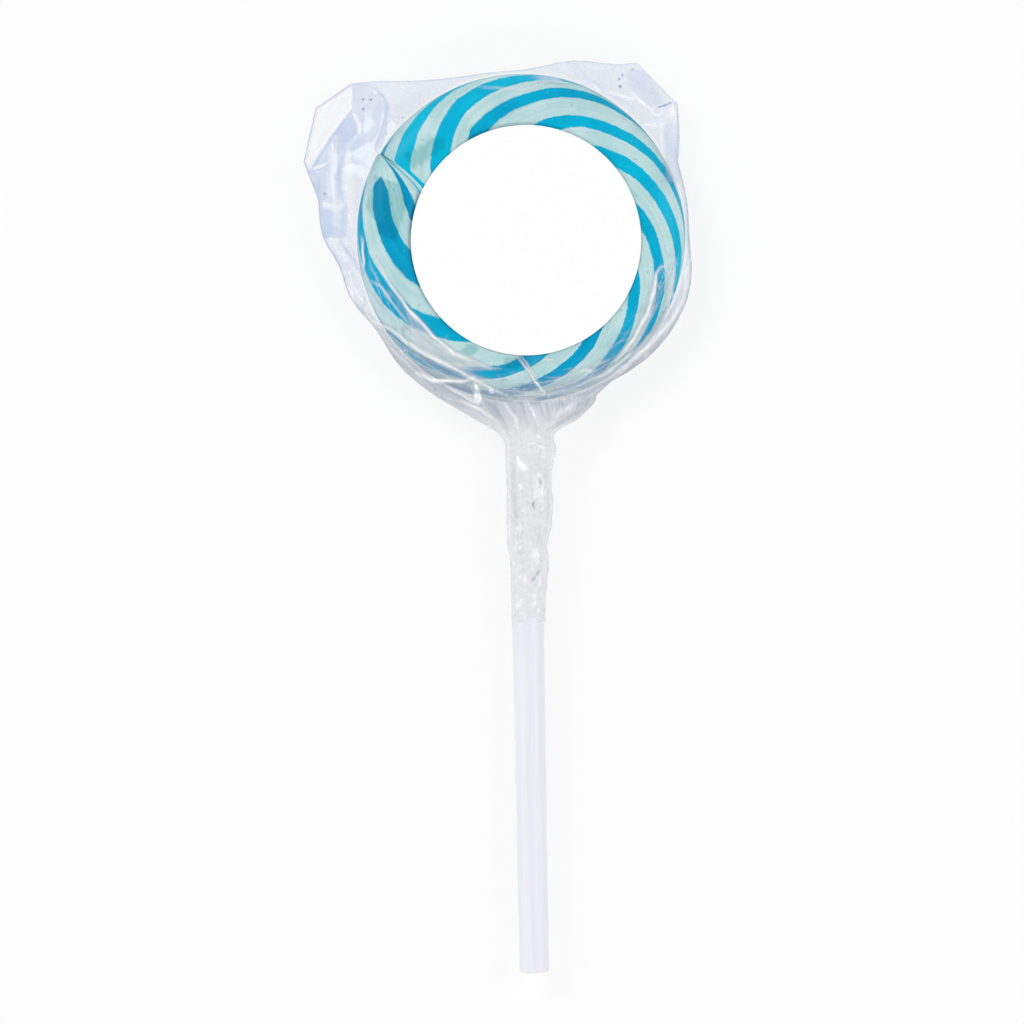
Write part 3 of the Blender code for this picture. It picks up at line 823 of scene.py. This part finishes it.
def lay_out_film():
    """The bag's outline filled with rows from its top edge down and columns round it."""
    sheet = SimpleNamespace()
    edges = solid_edges("wrapper")
    left_y, right_y, bulge = bag_rows()
    left_x = np.array([crossings(edges, 1, y).min() for y in left_y])
    right_x = np.array([crossings(edges, 1, y).max() for y in right_y])
    heights, lefts, rights = np.array(NECK_EDGES)[::-1].T
    close = smoothstep((NECK_EDGES[0][0] - left_y) / 2)
    left_x = left_x + (np.interp(left_y, heights, lefts) - left_x) * close
    right_x = right_x + (np.interp(right_y, heights, rights) - right_x) * close
    front = np.linspace(-1, 1, FRONT_COLUMNS)
    back = np.linspace(1, -1, BACK_COLUMNS + 2)[1:-1]
    sheet.across = np.concatenate([front, back])[None, :] + 0 * left_y[:, None]
    sheet.front = np.concatenate([front * 0 + 1, back * 0])[None, :] + 0 * sheet.across > 0.5

    # Round the stick the columns follow a circle, and over the candy they are evenly spaced.
    row_y = (left_y + right_y)[:, None] / 2
    sheet.necked = smoothstep((GATHER_START_Y - 6 - row_y) / 6) + 0 * sheet.across
    circular = np.sin(sheet.across * math.pi / 2)
    sheet.spread = (1 - sheet.necked) * sheet.across + sheet.necked * circular
    share = (sheet.spread + 1) / 2
    x = left_x[:, None] * (1 - share) + right_x[:, None] * share
    y = left_y[:, None] * (1 - share) + right_y[:, None] * share
    top_y = np.array([crossings(edges, 0, value).max() for value in x[0]])
    y = y + (top_y - y[0])[None, :] * bulge[:, None]
    sheet.x, sheet.y = x, y
    sheet.gathered = smoothstep((GATHER_START_Y - 1 - y) / 8)
    sheet.half_width = (right_x - left_x)[:, None] / 2
    sheet.middle_x = (right_x + left_x)[:, None] / 2

    sheet.radius = np.hypot(x, y)
    sheet.direction = np.degrees(np.arctan2(y, x)) % 360
    sheet.arc = np.radians(sheet.direction) * EDGE_RADIUS
    reach = reach_by_direction(edges)
    sheet.outline = np.interp(sheet.direction, np.arange(361), np.append(reach, reach[0]))
    sides = np.minimum(x - left_x[:, None], right_x[:, None] - x)
    sheet.border = np.minimum(sides, np.interp(x, x[0, :FRONT_COLUMNS], top_y[:FRONT_COLUMNS]) - y)
    return sheet


def film_stand(sheet):
    """How far the film stands off the middle plane before it is creased, and its lowest stand."""
    radius = sheet.radius
    film_edge = EDGE_RADIUS + 0.12
    rim = np.clip(1 - (film_edge - radius) / RIM_REACH, 0, 1) ** RIM_POWER
    candy = HALF_THICKNESS * np.clip(1 - rim, 0, 1) ** (1 / RIM_POWER) + FILM_CLEARANCE
    rim_fall = 1 - (film_edge - TANGENT_RADIUS) / RIM_REACH
    tangent = HALF_THICKNESS * (1 - rim_fall**RIM_POWER) ** (1 / RIM_POWER)
    away = (radius - TANGENT_RADIUS) / np.maximum(sheet.outline - TANGENT_RADIUS, 0.5)
    web = (tangent + FILM_CLEARANCE) * (1 - np.clip(away, 0, 1)) ** 1.25
    head = np.maximum(candy, np.where(radius > TANGENT_RADIUS, web, 0.0) + EDGE_THICKNESS)
    half_height = np.interp(sheet.y, *zip(*GATHER_HALF_HEIGHTS))
    half_height = np.where(sheet.y < NECK_START_Y, sheet.half_width * 0.96, half_height)
    round_side = np.clip(1 - sheet.spread**2, 0, 1) ** 0.5
    stand = head * (1 - sheet.gathered) + half_height * round_side * sheet.gathered
    stand = stand * (np.abs(sheet.across) < 1)
    stand[0] = 0.0
    lowest = np.where(radius < EDGE_RADIUS, candy - 0.04, 0.02) * (1 - sheet.gathered)
    return stand, lowest + 0.02


def plain_film(sheet):
    """The film's haze, tone and lift before it is marked: clear over the candy, milky below it."""
    y = sheet.y
    sheet.off_candy = smoothstep((sheet.radius - 24.9) / 0.9)
    haze = 0.004 + 0.32 * sheet.off_candy * np.where(sheet.front, 1.0, 0.35)
    haze = np.maximum(haze, 0.62 * smoothstep((-6 - y) / 12) * sheet.off_candy)
    lower_rim = smoothstep((sheet.radius - 21.2) / 3.2) * smoothstep((-15 - y) / 7)
    sheet.haze = np.maximum(haze, np.where(sheet.front, 0.45, 0.2) * lower_rim)
    lower = smoothstep((-6 - y) / 12) * (1 - sheet.gathered)
    sheet.tone = 0.44 - 0.08 * lower + 0.5 * sheet.necked
    sheet.lift = np.zeros_like(haze)


def mark_film(sheet, mask, haze, tone):
    """Draw the front film's haze and tone, its painted light and shade, towards the given ones
    where the mask is 1.
    """
    mask = mask * sheet.front
    sheet.haze = sheet.haze + (haze - sheet.haze) * mask
    sheet.tone = sheet.tone + (tone - sheet.tone) * mask


def thin_lanes(points, width, seed, shape):
    """1 along the lines where a noise passes through 0, falling to 0 beside them."""
    return np.clip(1 - np.abs(noise_at(points, 1.0, seed)).reshape(shape) / width, 0, 1)


def add_painted_light_streaks(sheet):
    """Thin streaks that run down the sides and into the neck: raised folds with painted highlights
    and shade.
    """
    y = sheet.y
    low = smoothstep((-15 - y) / 6)
    region = smoothstep((3 - y) / 8) * (0.5 * sheet.off_candy + 0.1 * low)
    for seed, painted_lightness in ((7, 1.0), (8, 0.1)):
        lanes = as_points(sheet.across * 8 + 0.06 * y, y * 0.05, 9.0 * sheet.front + seed)
        streak = thin_lanes(lanes, 0.11, seed, y.shape) * region * (1 - 0.8 * sheet.necked)
        sheet.haze = sheet.haze + (0.6 - sheet.haze) * streak * 0.75
        sheet.tone = sheet.tone + (painted_lightness - sheet.tone) * streak
        sheet.lift = sheet.lift + 0.2 * streak


def add_painted_rim_lines(sheet):
    """Fine lines of painted highlight and shade along the candy's edge where the film is drawn
    down to the stick.
    """
    y = sheet.y
    lower = smoothstep((-1 - y) / 6) * (1 - smoothstep((-23 - y) / 4))
    reach = smoothstep((sheet.radius - 20) / 3) * lower
    for seed, painted_lightness in ((31, 1.0), (32, 1.0), (33, 0.1)):
        lanes = as_points(sheet.radius * 0.9, sheet.arc / 9, 0 * y + seed)
        mark_film(sheet, thin_lanes(lanes, 0.09, seed, y.shape) * reach * 0.7, 0.6, painted_lightness)


def add_facets(sheet):
    """The flat facets and veils with their painted highlights and shade, a little uneven along the
    candy's edge.
    """
    x, y = sheet.x, sheet.y
    along = as_points(sheet.radius * 1.5, sheet.arc / 4, 0 * x)
    uneven = np.clip(0.85 + 0.6 * noise_at(along, 1.0, 41).reshape(x.shape), 0, 1)
    for corners, softness, haze, tone in FACETS:
        mark_film(sheet, inside_corners(x, y, corners, softness) * uneven, haze, tone)


def add_creases(sheet):
    """The folds, which wander a little, with their painted highlights and shade, and the specks.
    """
    x, y = sheet.x, sheet.y
    warp = 0.12 * noise_at(as_points(x, y, 0 * x), 1.6, 21).reshape(x.shape)
    for line, width, haze, tone in CREASES:
        gap, place = distance_to_line(x + warp, y + warp, line)
        ends = np.sin(np.clip(place, 0.03, 0.97) * math.pi) ** 0.5
        profile = np.exp(-((gap / width) ** 2)) * ends
        mark_film(sheet, profile, min(1.3 * haze, 0.97), tone)
        sheet.lift = sheet.lift + 1.1 * width * profile * sheet.front
    for speck_x, speck_y, size in SPECKS:
        mark_film(sheet, smoothstep(1.6 - np.hypot(x - speck_x, y - speck_y) / size), 0.85, -0.5)


def add_outline(sheet):
    """The film's outline, a thin line of painted shade, and its lower end, which fades into the
    stick.
    """
    outline = np.exp(-((sheet.border / EDGE_SHADE_WIDTH) ** 2)) * (1 - 0.6 * sheet.necked)
    sheet.haze = sheet.haze + (0.42 - sheet.haze) * outline * 0.8
    sheet.tone = sheet.tone + (0.15 - sheet.tone) * outline
    ragged = noise_at(as_points(sheet.across * 2.0, 0 * sheet.y, 9.0 * sheet.front), 0.6, 15)
    end = NECK_END_Y - 0.3 + 0.6 * ragged.reshape(sheet.y.shape)
    sheet.haze = np.clip(sheet.haze * smoothstep((sheet.y - end) / 3.2), 0, 1)


def film_crinkle(sheet, stand):
    """The loose film's unevenness, and the neck's finer crumpling."""
    x, y = sheet.x, sheet.y
    flat = as_points(x, y, 40.0 * sheet.front)
    soft = noise_at(flat, 7.0, 2).reshape(x.shape)
    crisp = np.abs(noise_at(flat, 3.2, 5).reshape(x.shape)) - 0.25
    fine = np.abs(noise_at(flat, 1.5, 6).reshape(x.shape)) - 0.2
    outside = smoothstep((sheet.radius - 22.5) / 5.0)
    low = smoothstep((-12 - y) / 10) * smoothstep((sheet.radius - 18.5) / 3)
    loose = np.clip(0.7 * outside + 0.5 * low, 0, 1) * (1 - sheet.necked)
    crinkle = loose * (0.45 * soft + 0.28 * crisp + 0.08 * fine)
    strands = as_points(sheet.across * 5 + 0.08 * y, y * 0.06, 9.0 * sheet.front)
    strands = np.abs(noise_at(strands, 1.0, 7)).reshape(x.shape) - 0.22
    pulled = smoothstep((-16 - y) / 8) * (1 - 0.5 * sheet.necked)
    sign = np.where(sheet.front, 1.0, -1.0)
    crumple_points = as_points(x, y * 0.8, stand * sign)
    facets = np.abs(noise_at(crumple_points, 1.6, 9).reshape(x.shape)) - 0.2
    small = np.abs(noise_at(crumple_points, 0.7, 10).reshape(x.shape)) - 0.2
    crumple = sheet.necked * (0.16 * facets + 0.03 * small)
    return crinkle + 0.8 * pulled * strands, crumple


def film_bend(sheet):
    """How far the free corners bend off the middle plane, both sheets together."""
    x, y = sheet.x, sheet.y
    far = np.clip((sheet.radius - 27) / 9, 0, 1.2) * (1 - sheet.gathered)
    corner = np.radians(sheet.direction[..., None] - np.array([150, 50]))
    lean = far * (1.3 * np.cos(corner[..., 0]) * (x < 0) - 0.9 * np.cos(corner[..., 1]) * (x > 0))
    outside = smoothstep((sheet.radius - 22.5) / 5.0) * (1 - sheet.necked)
    sway = 0.35 * outside * noise_at(as_points(x, y, x * 0), 8.0, 12).reshape(x.shape)
    return lean + sway


def film_points(sheet):
    """The places of the film's points, creased and crumpled."""
    stand, lowest = film_stand(sheet)
    crinkle, crumple = film_crinkle(sheet, stand)
    inside = smoothstep(stand / 0.8) * (1 - sheet.necked)
    stand = np.maximum(stand + (crinkle + sheet.lift) * inside, lowest)
    height = stand * np.where(sheet.front, 1.0, -1.0)
    around = np.arctan2(height, sheet.x - sheet.middle_x + 1e-6)
    x = sheet.x + crumple * np.cos(around)
    z = MIDDLE_Z + film_bend(sheet) + height + crumple * np.sin(around)
    return np.stack([x, sheet.y, np.maximum(z, 0.05)], axis=-1).reshape(-1, 3)


def make_film():
    """One bag of film: a dense front sheet and a coarser back sheet, meeting at the outline."""
    sheet = lay_out_film()
    plain_film(sheet)
    add_painted_light_streaks(sheet)
    add_painted_rim_lines(sheet)
    add_facets(sheet)
    add_creases(sheet)
    add_outline(sheet)
    values = {
        "haze": sheet.haze.ravel(),
        "tone": sheet.tone.ravel(),
        "neck": sheet.necked.ravel(),
        "drawn": smoothstep((-1 - sheet.y) / 16).ravel(),
    }
    faces = grid_quads(*sheet.y.shape, closed=True)[:, ::-1].tolist()
    film = mesh_piece("film_bag", film_points(sheet), faces, film_material(), values)
    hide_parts("wrapper")


# ---------------------------------------------------------------- scene


bpy.context.scene.view_settings.view_transform = "Standard"
make_camera()
make_lamps()
make_world()
make_floor()
make_candy()
make_label()
make_stick()
make_film()
